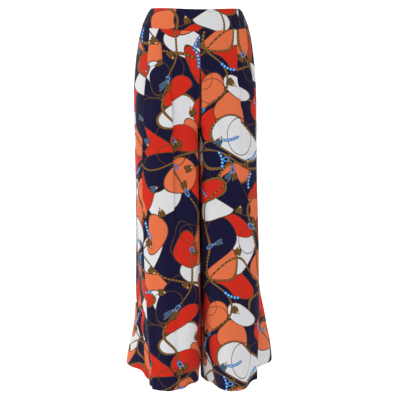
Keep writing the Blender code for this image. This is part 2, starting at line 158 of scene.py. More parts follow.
# One half of the garment, on the form of its solids
SECTIONS = Table(("height", "outer", "inner", "front", "back", "inner_square", "groove_square",
                  "front_square", "back_square"), (
    (0.032, 0.118, -0.118, -0.0895, 0.0905, 2.2, 2.2, 2.2, 2.2),
    (0.02, 0.1265, -0.1265, -0.091, 0.0935, 2.2, 2.2, 2.2, 2.2),
    (0, 0.1365, -0.1365, -0.093, 0.0985, 2.2, 2.2, 2.2, 2.2),
    (-0.025, 0.146, -0.146, -0.0965, 0.105, 2.2, 2.2, 2.2, 2.2),
    (-0.055, 0.1535, -0.1535, -0.1005, 0.1135, 2.2, 2.2, 2.25, 2.2),
    (-0.11, 0.161, -0.158, -0.106, 0.1265, 2.3, 2.3, 2.35, 2.3),
    (-0.15, 0.1645, -0.139, -0.108, 0.1305, 2.4, 2.4, 2.4, 2.3),
    (-0.19, 0.167, -0.1015, -0.1105, 0.1325, 2.6, 2.6, 2.4, 2.3),
    (-0.23, 0.1675, -0.058, -0.113, 0.132, 3.2, 3.2, 2.45, 2.3),
    (-0.26, 0.1675, -0.0255, -0.1145, 0.1305, 3.8, 3.9, 2.5, 2.3),
    (-0.28, 0.1675, -0.0075, -0.1155, 0.1295, 4, 4.6, 2.5, 2.3),
    (-0.295, 0.1675, 0.0012, -0.116, 0.129, 4, 5.2, 2.5, 2.4),
    (-0.405, 0.1665, 0.0013, -0.121, 0.126, 3, 5.6, 2.5, 2.4),
    (-0.585, 0.1685, 0.0014, -0.126, 0.1255, 2.4, 5.4, 2.4, 2.4),
    (-0.79, 0.171, 0.0012, -0.1295, 0.1275, 2.5, 4.6, 2.1, 2.3),
    (-0.925, 0.1713, 0.0016, -0.1325, 0.1305, 2.3, 3.2, 1.95, 2.2),
    (-1, 0.1715, 0.0046, -0.134, 0.132, 2, 2.2, 1.9, 2.2),
))

# The pleats: distance from the middle, the step across the fold (negative where the side's cloth
# lies on top), how far the fold is pressed shut, and the cloth hidden under it beyond the lap.
PLEAT_COLUMNS = ("height", "place", "step", "shut", "hidden")
PLEATS = {
    -1: {
        "inner": Table(PLEAT_COLUMNS, (
            (-0.025, 0.1005, 0.0024, 1, 0.03),
            (-0.095, 0.098, 0.005, 0.95, 0.026),
            (-0.14, 0.0935, 0.0025, 0.5, 0.014),
            (-0.16, 0.0885, 0.0004, 0.08, 0.009),
            (-0.18, 0.083, -0.002, 0.45, 0.006),
            (-0.23, 0.075, -0.006, 0.8, 0.003),
            (-0.405, 0.0755, -0.007, 0.88, 0),
            (-0.505, 0.076, -0.0045, 0.6, 0),
            (-0.605, 0.0765, -0.0015, 0.2, 0),
            (-0.79, 0.0795, -0.003, 0.35, 0),
            (-1, 0.081, -0.0015, 0.15, 0),
        )),
        "outer": Table(PLEAT_COLUMNS, (
            (-0.025, 0.129, 0.0024, 1, 0.03),
            (-0.11, 0.1345, 0.006, 0.95, 0.026),
            (-0.23, 0.1465, 0.009, 0.86, 0.02),
            (-0.435, 0.153, 0.01, 0.8, 0.016),
            (-0.585, 0.154, 0.01, 0.78, 0.014),
            (-0.84, 0.1505, 0.013, 0.78, 0.012),
            (-1, 0.144, 0.014, 0.75, 0.012),
        )),
    },
    1: {
        "inner": Table(PLEAT_COLUMNS, (
            (-0.025, 0.0995, 0.0024, 1, 0.03),
            (-0.095, 0.099, 0.0055, 1, 0.026),
            (-0.16, 0.099, 0.0055, 0.9, 0.018),
            (-0.2, 0.107, 0.0035, 0.55, 0.01),
            (-0.315, 0.104, 0.003, 0.35, 0.003),
            (-0.405, 0.1035, 0.0025, 0.28, 0),
            (-0.505, 0.103, 0.001, 0.15, 0),
            (-1, 0.1015, 0.001, 0.12, 0),
        )),
        "outer": Table(PLEAT_COLUMNS, (
            (-0.025, 0.1315, 0.0024, 1, 0.03),
            (-0.09, 0.1345, 0.006, 0.95, 0.026),
            (-0.14, 0.1425, 0.008, 0.88, 0.022),
            (-0.195, 0.149, 0.009, 0.82, 0.02),
            (-0.435, 0.154, 0.009, 0.75, 0.016),
            (-0.585, 0.1555, 0.01, 0.75, 0.014),
            (-0.84, 0.154, 0.013, 0.75, 0.012),
            (-1, 0.15, 0.014, 0.72, 0.012),
        )),
    },
}
PLEAT_REACH = {"inner": (0.026, 0.02), "outer": (0.018, 0.014)}
LAP = 0.0060  # how far a shut fold lies over the cloth beyond it

Fold = namedtuple("Fold", ("at_top", "at_hem", "start", "reach", "half_width"))
FOLDS = by_side(Fold, right=(
    (92, 92, -0.54, -0.01, 24),
    (166, 158, -0.59, -0.026, 28),
    (292, 296, -0.27, 0.009, 15),
    (264, 266, -0.33, -0.012, 15),
    (60, 61, -0.74, -0.015, 13),
    (84, 82, -0.8, -0.01, 9),
), left=(
    (81, 82, -0.61, 0.013, 13),
    (54, 55, -0.76, -0.01, 12),
    (112, 112, -0.78, -0.01, 10),
    (168, 160, -0.61, -0.015, 26),
    (298, 302, -0.29, 0.008, 15),
    (272, 272, -0.29, -0.013, 15),
    (246, 248, -0.33, 0.006, 12),
))
FOLD_FADE = 0.025

Flare = namedtuple("Flare", ("angle", "half_width", "reach"))
FLARES = {
    -1: Flare(math.radians(224), math.radians(42), Table(("height", "reach"), (
        (-0.485, 0),
        (-0.625, 0.006),
        (-0.75, 0.012),
        (-0.84, 0.019),
        (-0.915, 0.034),
        (-0.95, 0.043),
        (-1, 0.051),
    ))),
    1: Flare(math.radians(217), math.radians(32), Table(("height", "reach"), (
        (-0.6, 0),
        (-0.77, 0.027),
        (-0.84, 0.045),
        (-0.89, 0.056),
        (-0.935, 0.068),
        (-1, 0.076),
    ))),
}

# Where the hem rides up: the way round (degrees) where it starts to rise, is up, starts to
# fall and is down, and how far it is up.
Rise = namedtuple("Rise", ("start", "up", "fall", "down", "lift"))
RISES = by_side(Rise, right=(
    (166, 194, 236, 300, 0.021),
    (84, 60, 40, 10, 0.005),
), left=(
    (99, 121, 206, 290, 0.014),
    (66, 46, 30, 4, 0.004),
))
RISE_FROM = -0.78

# Creases: the height and the way round (degrees) where each starts and ends, how far it
# stands out (negative: in), and its half width in degrees.
Crease = namedtuple("Crease", ("top", "bottom", "at_top", "at_bottom", "reach", "half_width"))
CREASES = by_side(Crease, right=(
    # right front
    (-0.03, -0.21, 104, 96, -0.0016, 5),
    (-0.12, -0.48, 84, 76, -0.0022, 6),
    (-0.2, -0.7, 118, 112, 0.002, 7),
    (-0.25, -0.62, 56, 60, 0.0024, 6.5),
    (-0.43, -0.96, 74, 84, 0.0022, 5),
    (-0.52, -1.04, 108, 112, -0.003, 6),
    (-0.64, -1.05, 48, 44, -0.0034, 8),
    (-0.69, -1.06, 126, 122, 0.0026, 5.5),
    (-0.18, -0.3, 66, 34, -0.002, 5),
    (-0.205, -0.33, 84, 46, 0.0014, 5.5),
    # right back
    (-0.11, -0.42, 236, 244, -0.0024, 6),
    (-0.17, -0.33, 268, 318, -0.003, 6),
    (-0.21, -0.38, 252, 300, 0.002, 6.5),
    (-0.3, -0.88, 250, 252, 0.003, 6),
    (-0.44, -1.05, 236, 240, -0.0034, 7),
    (-0.52, -1.05, 278, 282, 0.0036, 6.5),
    (-0.61, -1.06, 312, 310, -0.0036, 8),
    (-0.38, -0.82, 206, 204, -0.002, 6),
), left=(
    # left front
    (-0.03, -0.23, 100, 92, -0.0014, 5),
    (-0.15, -0.56, 80, 72, -0.002, 6),
    (-0.19, -0.64, 108, 104, 0.0018, 6),
    (-0.3, -0.76, 60, 58, 0.0024, 7),
    (-0.36, -0.82, 92, 96, -0.0018, 5.5),
    (-0.48, -1.04, 118, 116, 0.0026, 6),
    (-0.6, -1.05, 100, 98, -0.0032, 6),
    (-0.66, -1.06, 52, 50, -0.0036, 7),
    (-0.175, -0.3, 70, 36, -0.0022, 5),
    (-0.215, -0.345, 88, 52, 0.0014, 5),
    # left back
    (-0.12, -0.45, 232, 240, -0.0022, 6),
    (-0.165, -0.32, 266, 316, -0.0028, 6),
    (-0.22, -0.4, 256, 304, 0.0022, 6),
    (-0.28, -0.8, 258, 260, 0.0024, 5.5),
    (-0.46, -1.05, 284, 288, -0.003, 6),
    (-0.54, -1.05, 262, 260, 0.0034, 6),
    (-0.64, -1.06, 316, 314, -0.004, 8),
    (-0.4, -0.86, 204, 208, -0.0022, 6),
))


def eased(share):
    share = np.clip(share, 0, 1)
    return share * share * (3 - 2 * share)


def bell(distance, width):
    return np.exp(-((distance / width) ** 2))


def uneven_wave(along, pitch, sway, rate, shift=0):
    """A wave whose crests wander."""
    return np.sin(FULL_TURN * along / pitch + sway * np.sin(rate * along + shift))


def summed(steps):
    """Running totals along each row, from 0."""
    return np.concatenate([np.zeros((len(steps), 1)), np.cumsum(steps, axis=1)], axis=1)


def along_rows(points):
    """How far along its row each point of a grid lies."""
    return summed(np.linalg.norm(np.diff(points, axis=1), axis=-1))


def lower(height, start):
    """0 down to a height, easing to 1 at the hem."""
    return eased((start - height) / (start - HEM))


def half_ring(height):
    """The middle of one half's ring and its half sizes: x, y, x, y."""
    outer, inner, front, back = (SECTIONS.at(name, height) for name in ("outer", "inner", "front", "back"))
    return (outer + inner) / 2, (front + back) / 2, (outer - inner) / 2, (back - front) / 2


def squareness(height, towards_other_leg, front):
    outside = np.where(front, SECTIONS.at("front_square", height), SECTIONS.at("back_square", height))
    inside = np.where(front, SECTIONS.at("groove_square", height), SECTIONS.at("inner_square", height))
    return np.where(towards_other_leg, inside, outside)


def angle_at(place, height, front=True):
    """The way round the ring, from the inner side over the front, to a distance from the middle."""
    centre_x, _, half_x, half_y = half_ring(height)
    across = np.clip((centre_x - place) / half_x, -1, 1)
    power = squareness(height, across > 0, front)
    angle = np.arctan2(half_y * (1 - np.abs(across) ** power) ** (1 / power), across * half_x)
    return angle if front else FULL_TURN - angle


def centre_edge(height, front):
    """The way round to a panel's edge at the middle of the garment, and down the inseam."""
    angle = angle_at(SEAM_GAP / 2, height, front)
    away = SEAM_GAP / 2 / half_ring(height)[2]
    return np.hypot(angle, away) if front else FULL_TURN - np.hypot(FULL_TURN - angle, away)


def side_edge(height, front):
    away = SEAM_GAP / 2 / half_ring(height)[2]
    return math.pi - away if front else math.pi + away


def hem_rise(side, height, angle):
    degrees = np.degrees(angle)
    total = 0.0
    for rise in RISES[side]:
        up = eased((degrees - rise.start) / (rise.up - rise.start))
        total = total + rise.lift * up * eased((degrees - rise.down) / (rise.fall - rise.down))
    return total * lower(height, RISE_FROM)


def surface(side, height, angle, outward=0.0):
    """Points of one half's outer face, moved outward: side is 1 for the wearer's left."""
    centre_x, centre_y, half_x, half_y = half_ring(height)
    power = squareness(height, np.cos(angle) > 0, np.sin(angle) >= 0)
    across, along = np.abs(np.cos(angle) / half_x), np.abs(np.sin(angle) / half_y)
    flare = FLARES[side]
    swing = np.cos(np.clip((angle - flare.angle) / flare.half_width, -1, 1) * math.pi / 2) ** 2
    flared = flare.reach.at("reach", height) * swing
    radius = (across**power + along**power) ** (-1 / power) + flared + outward
    x = side * (centre_x - radius * np.cos(angle)) + LEAN_AT_HEM * lower(height, LEAN_FROM)
    y = centre_y - radius * np.sin(angle)
    return np.stack([x, y, height + hem_rise(side, height, angle)], axis=-1)


def metres_per_turn(side, height, angle, step=0.01):
    """How far the surface runs for each radian round the ring."""
    run = surface(side, height, angle + step) - surface(side, height, angle - step)
    return np.linalg.norm(run, axis=-1) / (2 * step)


def wrinkles(side, height, angle):
    """Creases listed one by one over a faint unevenness of the cloth."""
    total = np.zeros(np.broadcast(height, angle).shape)
    for crease in CREASES[side]:
        down = np.clip((crease.top - height) / (crease.top - crease.bottom), 0, 1)
        middle = crease.at_top + (crease.at_bottom - crease.at_top) * eased(down)
        middle = middle + CREASE_WANDER * np.sin(9 * down + crease.at_top)
        strength = np.sin(math.pi * down**0.8) ** 2 * (1 + 0.25 * np.sin(13 * down + crease.at_bottom))
        total += crease.reach * strength * bell(np.degrees(angle) - middle, crease.half_width)
    sway = 0.6 * np.sin(7 * height + side)
    faint = (np.sin(11 * angle + 5 * height + side)
             + 0.7 * np.sin(17 * angle - 8 * height + 2.1 * side + sway)
             + 0.5 * np.sin(5 * angle + 31 * height) * np.sin(29 * height + 3 * angle))
    return total + UNEVENNESS * faint * eased((-0.03 - height) / 0.10)


def long_folds(side, height, angle):
    total = np.zeros(np.broadcast(height, angle).shape)
    for fold in FOLDS[side]:
        down = lower(height, fold.start)
        middle = fold.at_top + (fold.at_hem - fold.at_top) * down
        total += fold.reach * down * bell(np.degrees(angle) - middle, fold.half_width)
    return total


def rolled_off(height, angle, front):
    """1 away from a panel's centre edge, easing to 0 on it."""
    return eased(np.abs(angle - centre_edge(height, front)) * half_ring(height)[2] / FOLD_FADE)


def between(edge, share):
    return edge[0] + (edge[1] - edge[0]) * np.sin(share * math.pi / 2) ** 2


def stretch(lines, counts, to_last=False):
    """Columns between lines, which are arrays of a value per row, without the last line or with it."""
    parts = [before[:, None] + (after - before)[:, None] * np.arange(count) / count
             for before, after, count in zip(lines[:-1], lines[1:], counts)]
    return np.concatenate(parts + [lines[-1][:, None]] * to_last, axis=1)


def fold_path(step, shut):
    """The run of cloth through a fold, row by row: how far along and how far out each column lies,
    and where along it the fold's visible edge is."""
    turn = (0.0015 + 0.65 * np.abs(step)) / (0.35 + 0.65 * shut)
    flat = LAP * shut
    length = 2 * turn + flat
    fine = np.linspace(0, 1, 401) * length[:, None]
    bend = eased(fine / turn[:, None]) * eased((length[:, None] - fine) / turn[:, None])
    heading = math.pi * np.maximum(shut, 0.02)[:, None] * bend
    along, drop = (summed((slope[:, 1:] + slope[:, :-1]) / 2 * (length / 400)[:, None])
                   for slope in (np.cos(heading), np.sin(heading)))
    out = step[:, None] * (0.5 - drop / drop[:, -1:])
    columns = stretch([0 * turn, turn, turn + flat, length], FOLD_COUNTS, to_last=True)
    turns = np.stack([turn / 2, 1.5 * turn + flat], axis=1)
    along_at, out_at, edges = (np.array([np.interp(*row) for row in zip(places, fine, values)])
                               for places, values in ((columns, along), (columns, out), (turns, along)))
    on_top = 0.5 + 0.5 * np.tanh(step / 0.0008)  # which of the fold's turns shows
    return along_at, out_at, on_top * edges[:, 0] + (1 - on_top) * edges[:, 1]


def rows_down(seam, share):
    """Heights over a leg panel, rows down and columns across."""
    top = between(seam, share) - SEAM_GAP
    first, last = top - TOP_ROWS[-1], HEM + HEM_ROWS[0]
    body = [first - (first - last) * row / (BODY_ROWS + 1) for row in range(1, BODY_ROWS + 1)]
    return np.array([top - down for down in TOP_ROWS] + body + [HEM + up + 0 * top for up in HEM_ROWS])


def inside_lines(height, side, first, front):
    """A panel's centre edge, where it starts to roll, and the lines from there round to the first."""
    sign, inseam = (1, 0) if front else (-1, FULL_TURN)
    edge = centre_edge(height, front)
    rolled = edge + sign * EDGE_ROLL / metres_per_turn(side, height, edge)
    lines = [edge, rolled]
    for number, share in enumerate(INSIDE_LINES, 1):
        line, clear = inseam + (first - inseam) * share, rolled + sign * number * LINE_GAP
        lines.append(sign * np.maximum(sign * line, sign * clear))
    return lines


def front_columns(side, height):
    """The way round to each column of a front, the pleats' relief there and the cloth hidden."""
    inner = PLEATS[side]["inner"].at("place", height)
    lines = inside_lines(height, side, angle_at(FRONT_LINES[0] * inner, height), True)
    lines += [angle_at(part * inner, height) for part in FRONT_LINES]
    counts = FRONT_COUNTS
    parts, folds = [], []
    for name, reaches in PLEAT_REACH.items():
        place, step, shut, under = (PLEATS[side][name].at(key, height) for key in PLEAT_COLUMNS[1:])
        along, out, edge = fold_path(step, shut)
        fold = angle_at(place, height)
        scale = metres_per_turn(side, height, fold)
        start = fold - edge / scale
        parts.append(stretch(lines + [start], counts))
        first = sum(part.shape[1] for part in parts)
        folds.append((first, step[:, None], out[:, :-1], under[:, None], *reaches))
        parts.append(start[:, None] + along[:, :-1] / scale[:, None])
        lines, counts = [start + along[:, -1] / scale], (BETWEEN_PLEATS,)
    side_line = side_edge(height, True)
    rolled = side_line - EDGE_ROLL / metres_per_turn(side, height, side_line)
    parts.append(stretch(lines + [rolled, side_line], SIDE_COUNTS, to_last=True))
    angle = np.concatenate(parts, axis=1)
    depth, hidden = np.zeros(angle.shape), np.zeros(angle.shape)
    half_x = half_ring(height)[2][:, None]
    for first, step, out, under, centre_reach, side_reach in folds:
        end = first + out.shape[1]
        before = (angle[:, first:first + 1] - angle[:, :first]) * half_x
        after = (angle[:, end:] - angle[:, end:end + 1]) * half_x
        depth[:, :first] += step / 2 * np.exp(-np.maximum(before, 0) / centre_reach)
        depth[:, first:end] += out
        depth[:, end:] -= step / 2 * np.exp(-np.maximum(after, 0) / side_reach)
        through = np.linspace(0, 1, end - first, endpoint=False)
        hidden[:, first:end] += under * eased(through * 1.6 - 0.3)
        hidden[:, end:] += under
    return angle, depth * eased((math.pi - angle) * half_x / FOLD_FADE), hidden


def back_columns(side, height):
    """The way round to each column of a back, no pleats, and the cloth that its dart takes in."""
    places = [angle_at(place, height, False) for place in BACK_PLACES]
    side_line = side_edge(height, False)
    rolled = side_line + EDGE_ROLL / metres_per_turn(side, height, side_line)
    lines = inside_lines(height, side, places[0], False) + places + [rolled, side_line]
    angle = stretch(lines, BACK_COUNTS, to_last=True)
    past = np.clip((np.arange(angle.shape[1]) - DART_COLUMN) / BACK_COUNTS[DART_SPAN], 0, 1)
    return angle, 0 * angle, past * DART_INTAKE * dart_open(height)[:, None]


def dart_open(height):
    """1 at the top of a dart, easing to 0 at its point."""
    return np.clip((height - BACK_BAND_SEAM[1] + DART_LENGTH) / DART_LENGTH, 0, 1)


def dip(distance, depth=EDGE_DEPTH, width=EDGE_ROLL):
    """How deep an edge has turned in, this far from it."""
    return depth * (1 - np.clip(distance / width, 0, 1)) ** 2


def rounded_off(distance, radius, least):
    """The share of its thickness that a round edge has, this far from it."""
    return np.sqrt(np.clip(1 - (1 - np.clip(distance / radius, 0, 1)) ** 2, least, 1))


Grid = namedtuple("Grid", ("points", "thick", "cloth"))


def panel_grid(side, front):
    """A leg panel: its outer face with pleats, dart, folds, rolled edges and a turned-up hem, its
    thickness, and its cloth coordinates."""
    columns_at, seam, datum, counts = (
        (front_columns, FRONT_BAND_SEAM, sum(FRONT_COUNTS), FRONT_COUNTS + PLEAT_COUNTS + SIDE_COUNTS)
        if front else (back_columns, BACK_BAND_SEAM, DART_COLUMN, BACK_COUNTS))
    share = np.linspace(0, 1, sum(counts) + 1)
    for _ in range(2):  # the columns depend on the rows' heights, and those on the columns
        angle, depth, hidden = columns_at(side, rows_down(seam, share)[:, len(share) // 2])
        share = np.clip(1 - np.abs(2 * angle[0] / math.pi - 2), 0, 1)
    height = rows_down(seam, share)
    depth = depth + wrinkles(side, height, angle) + long_folds(side, height, angle)
    depth *= rolled_off(height, angle, front)
    if not front:
        dart = angle_at(DART_PLACE, height, False)
        across = (angle - dart) * metres_per_turn(side, height, dart)
        depth -= DART_DEPTH * bell(across, DART_HALF_WIDTH) * dart_open(height)
    along = along_rows(surface(side, height, angle, depth))
    from_sides, above_hem = np.minimum(along, along[:, -1:] - along), height - HEM
    hem = eased((HEM_DEEP + 0.0004 - above_hem) / 0.0008)
    depth -= dip(from_sides) + 1.4 * dip((height[:1] - height) * 0.7)
    depth += PUCKER * uneven_wave(height, PUCKER_PITCH, 1.4 * math.pi, 37) * np.exp(-from_sides / 0.008)
    depth += HEM_GATHER * uneven_wave(along, 0.0135, 2, 41) * bell(above_hem, 0.016)
    depth += 0.4 * HEM_EXTRA * hem + HEM_RIDGE * bell(above_hem - HEM_DEEP, 0.0022)
    thick = (CREPE + HEM_EXTRA * hem) * rounded_off(above_hem, 0.0012, 0.06)
    cloth = np.stack([along - along[:, datum:datum + 1] + hidden, height], axis=-1)
    return Grid(surface(side, height, angle, depth), thick, cloth)


def band_grid(side, front):
    """Half the waistband's front or back, from the centre to the side seam."""
    waist, seam = (FRONT_WAIST_EDGE, FRONT_BAND_SEAM) if front else (BACK_WAIST_EDGE, BACK_BAND_SEAM)
    top, bottom = between(waist, BAND_SHARES), between(seam, BAND_SHARES)
    height = np.array([top - down * (top - bottom) / BAND_HEIGHT for down in BAND_ROWS]
                      + [bottom + up for up in BAND_FOOT_ROWS])
    slot = eased((height - SLOT_FROM) / (SLOT_FULL_AT - SLOT_FROM))
    parted = SEAM_GAP / 2 + (SLOT_HALF_WIDTH - SEAM_GAP / 2) * slot
    start = math.pi / 2 if front else angle_at(parted, height, False)
    angle = start + (side_edge(height, front) - start) * BAND_SHARES
    along = along_rows(surface(side, height, angle, BAND_PROUD))
    below_top, above_seam = top - height, height - bottom
    depth = BAND_PROUD - dip(above_seam, 0.0007, 0.0020) - 0.9 * dip(along[:, -1:] - along)
    if not front:
        depth -= 0.7 * dip(along)
    depth += 0.00030 * bell(below_top - 0.0026, 0.0016) - 0.00042 * bell(below_top - TOPSTITCH_BELOW, 0.0011)
    slack = np.sin(along * 31 + 60 * height + side) * np.sin(along * 12 - 25 * height + 1)
    depth += 0.00022 * uneven_wave(along, 0.0115, 3, 23, side) * np.exp(-above_seam / 0.007)
    depth += 0.00060 * slack * eased(below_top / 0.012)
    rounded = rounded_off(below_top, 0.0014, 0.10)
    points = surface(side, height, angle, depth - (1 - rounded) * BAND / 2)
    return Grid(points, BAND * rounded, np.stack([along * (-side if front else side), height], axis=-1))


def joined_band():
    """The waistband's front from side seam to side seam, the wearer's right first."""
    left, right = band_grid(1, True), band_grid(-1, True)
    return Grid(*(np.concatenate([r[:, :0:-1], l], axis=1) for l, r in zip(left, right)))


def outward_of(points):
    """Directions square to a grid of points, away from the garment's inside, and which way they turned."""
    square = np.cross(np.gradient(points, axis=1), np.gradient(points, axis=0))
    square = square / np.maximum(np.linalg.norm(square, axis=-1, keepdims=True), 1e-12)
    middle = tuple(count // 2 for count in points.shape[:2])
    turn = np.sign(square[middle][1] * points[middle][1])
    return square * turn, turn


def add_mesh(name, verts, faces, uvs=None, face_slots=None, materials=()):
    mesh = bpy.data.meshes.new(name)
    mesh.from_pydata(np.asarray(verts).tolist(), [], faces)
    if uvs is not None:
        layer = mesh.uv_layers.new(name="cloth")
        loops = np.empty(len(mesh.loops), dtype=np.int32)
        mesh.loops.foreach_get("vertex_index", loops)
        layer.data.foreach_set("uv", np.asarray(uvs, dtype=np.float32)[loops].ravel())
    if face_slots is not None:
        mesh.polygons.foreach_set("material_index", np.asarray(face_slots, dtype=np.int32))
    for look in materials:
        mesh.materials.append(look)
    mesh.shade_smooth()
    made = bpy.data.objects.new(name, mesh)
    bpy.context.scene.collection.objects.link(made)
    return made


def shell(name, grid, shift, materials):
    """A closed thin shell under a grid's outer face, with rounded rims."""
    points, (outward, turn) = grid.points, outward_of(grid.points)
    inner = points - outward * grid.thick[..., None]
    rows, columns = points.shape[:2]
    rim = ([(0, j) for j in range(columns)] + [(i, columns - 1) for i in range(1, rows)]
           + [(rows - 1, j) for j in range(columns - 2, -1, -1)] + [(i, 0) for i in range(rows - 2, 0, -1)])
    i, j = np.array(rim).T
    push = points[i, j] - points[np.clip(i, 1, rows - 2), np.clip(j, 1, columns - 2)]
    push -= outward[i, j] * (push * outward[i, j]).sum(axis=1, keepdims=True)
    push /= np.maximum(np.linalg.norm(push, axis=1, keepdims=True), 1e-9)
    rounding = (points[i, j] + inner[i, j]) / 2 + push * grid.thick[i, j][:, None] * RIM_ROUND
    verts = np.concatenate([points.reshape(-1, 3), inner.reshape(-1, 3), rounding])
    uvs = np.concatenate([grid.cloth.reshape(-1, 2)] * 2 + [grid.cloth[i, j]]) + shift
    number = np.arange(rows * columns).reshape(rows, columns)
    corners = (number[:-1, :-1], number[1:, :-1], number[1:, 1:], number[:-1, 1:])
    quads = np.stack(corners, axis=-1).reshape(-1, 4)
    rings = [number[i, j], 2 * number.size + np.arange(len(rim)), number[i, j] + number.size]
    round_the_rim = np.stack([np.stack([a, np.roll(a, -1), np.roll(b, -1), b], axis=-1)
                              for a, b in zip(rings, rings[1:])], axis=1).reshape(-1, 4)
    faces = np.concatenate([quads, quads[:, ::-1] + number.size, round_the_rim[:, ::-1]])
    slots = np.repeat((0, 1, 0), (len(quads), len(quads), len(round_the_rim)))
    return add_mesh(name, verts, (faces[:, ::-1] if turn > 0 else faces).tolist(), uvs, slots, materials)


def add_bars(name, bars, look):
    """Small closed bars. Each is a list of rings, and a ring is its middle and two half widths."""
    turns = [FULL_TURN * corner / BAR_SIDES for corner in range(BAR_SIDES)]
    verts, faces = [], []
    for rings in bars:
        base = len(verts)
        for middle, up, across in rings:
            verts += [middle + up * math.sin(turn) + across * math.cos(turn) for turn in turns]
        for start in range(base, len(verts) - BAR_SIDES, BAR_SIDES):
            for corner in range(BAR_SIDES):
                a, b = start + corner, start + (corner + 1) % BAR_SIDES
                faces.append((a, b, b + BAR_SIDES, a + BAR_SIDES))
        faces.append(tuple(reversed(range(base, base + BAR_SIDES))))
        faces.append(tuple(range(len(verts) - BAR_SIDES, len(verts))))
    return add_mesh(name, verts, faces, materials=(look,))


def stitches(name, path, outward, look):
    """A row of thread stitches along points, each lying on the cloth."""
    along = along_rows(path[None])[0]

    def at(values, distance):
        return np.array([np.interp(distance, along, column) for column in values.T])

    bars = []
    for number in range(int(along[-1] / STITCH_PITCH)):
        bars.append([])
        for share, fat, lift in STITCH_RINGS:
            distance = (number + 0.15) * STITCH_PITCH + share * STITCH_LENGTH
            point, up = at(path, distance), at(outward, distance) * STITCH_RADIUS
            ahead = at(path, distance + 0.0005) - point
            across = np.cross(ahead / np.linalg.norm(ahead), up) * 1.15
            bars[-1].append((point + up * lift, up * fat, across * fat))
    return add_bars(name, bars, look)


def on_garment(piece):
    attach(piece, "garment")
    return piece


def zip_coil(teeth_look, thread):
    """The closed coil on the inside of the zip's tapes, and the two rows of thread that hold it."""
    spots = np.array([tuple(vertex.co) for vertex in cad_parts["zip_tape"].data.vertices])
    spots = spots[np.abs(spots[:, 0]) < 0.001]
    heights = np.unique(spots[:, 2].round(5))
    inside = [spots[np.abs(spots[:, 2] - height) < 1e-4, 1].min() for height in heights]
    half_x, half_y, half_z = TOOTH_SIZE
    bars = []
    for height in COIL_FROM - TOOTH_PITCH * np.arange(int((COIL_FROM - COIL_TO) / TOOTH_PITCH)):
        depth = np.interp(height, heights, inside) - TOOTH_SUNK * half_y
        bars.append([(np.array((along * half_x, depth, height + TOOTH_SLANT * along)),
                      np.array((0, -half_y * fat, 0)), np.array((0, 0, half_z * fat)))
                     for along, fat in TOOTH_RINGS])
    on_garment(add_bars("zip_coil", bars, teeth_look))
    down = np.linspace(COIL_FROM, COIL_TO, 60)
    for x, word in ((-TAPE_SEWN_AT, "right"), (TAPE_SEWN_AT, "left")):
        path = np.stack([x + 0 * down, np.interp(down, heights, inside), down], axis=-1)
        inward = np.array([[0.0, -1.0, 0.0]] * len(down))
        on_garment(stitches(f"zip_stitch_{word}", path, inward, thread))


# The print

REPEAT = 0.61  # both ways
PER_REPEAT = FULL_TURN / REPEAT

NAVY = (0.0046, 0.0034, 0.0295, 1.0)
RED = (0.600, 0.0195, 0.0075, 1.0)
CORAL = (0.730, 0.157, 0.058, 1.0)
WHITE = (0.700, 0.698, 0.712, 1.0)
OUTLINE = (0.090, 0.040, 0.012, 1.0)
CORD_DARK = (0.040, 0.018, 0.006, 1.0)
CORD_GOLD = (0.300, 0.150, 0.035, 1.0)
LEAF_GOLD = (0.215, 0.100, 0.024, 1.0)
LEAF_DARK = (0.045, 0.022, 0.009, 1.0)
BUD_GOLD = (0.620, 0.400, 0.140, 1.0)
BLUE = (0.010, 0.130, 0.560, 1.0)
PALE_BLUE = (0.250, 0.560, 0.830, 1.0)
DULL_BLUE = (0.065, 0.170, 0.320, 1.0)
DEEP_BLUE = (0.012, 0.040, 0.110, 1.0)
CLEAR = (0.0, 0.0, 0.0, 0.0)
UNRUBBED = (0.0, 0.0, 0.0, 1.0)
RUBBED = (1.0, 1.0, 1.0, 1.0)
WRONG_SIDE = (0.52, 0.46, 0.45, 1.0)
WRONG_SIDE_SHARE = 0.45
EDGE = 0.8  # where a motif's edge lies on its colour ramps

COLOUR, NUMBER, VECTOR = "NodeSocketColor", "NodeSocketFloat", "NodeSocketVector"


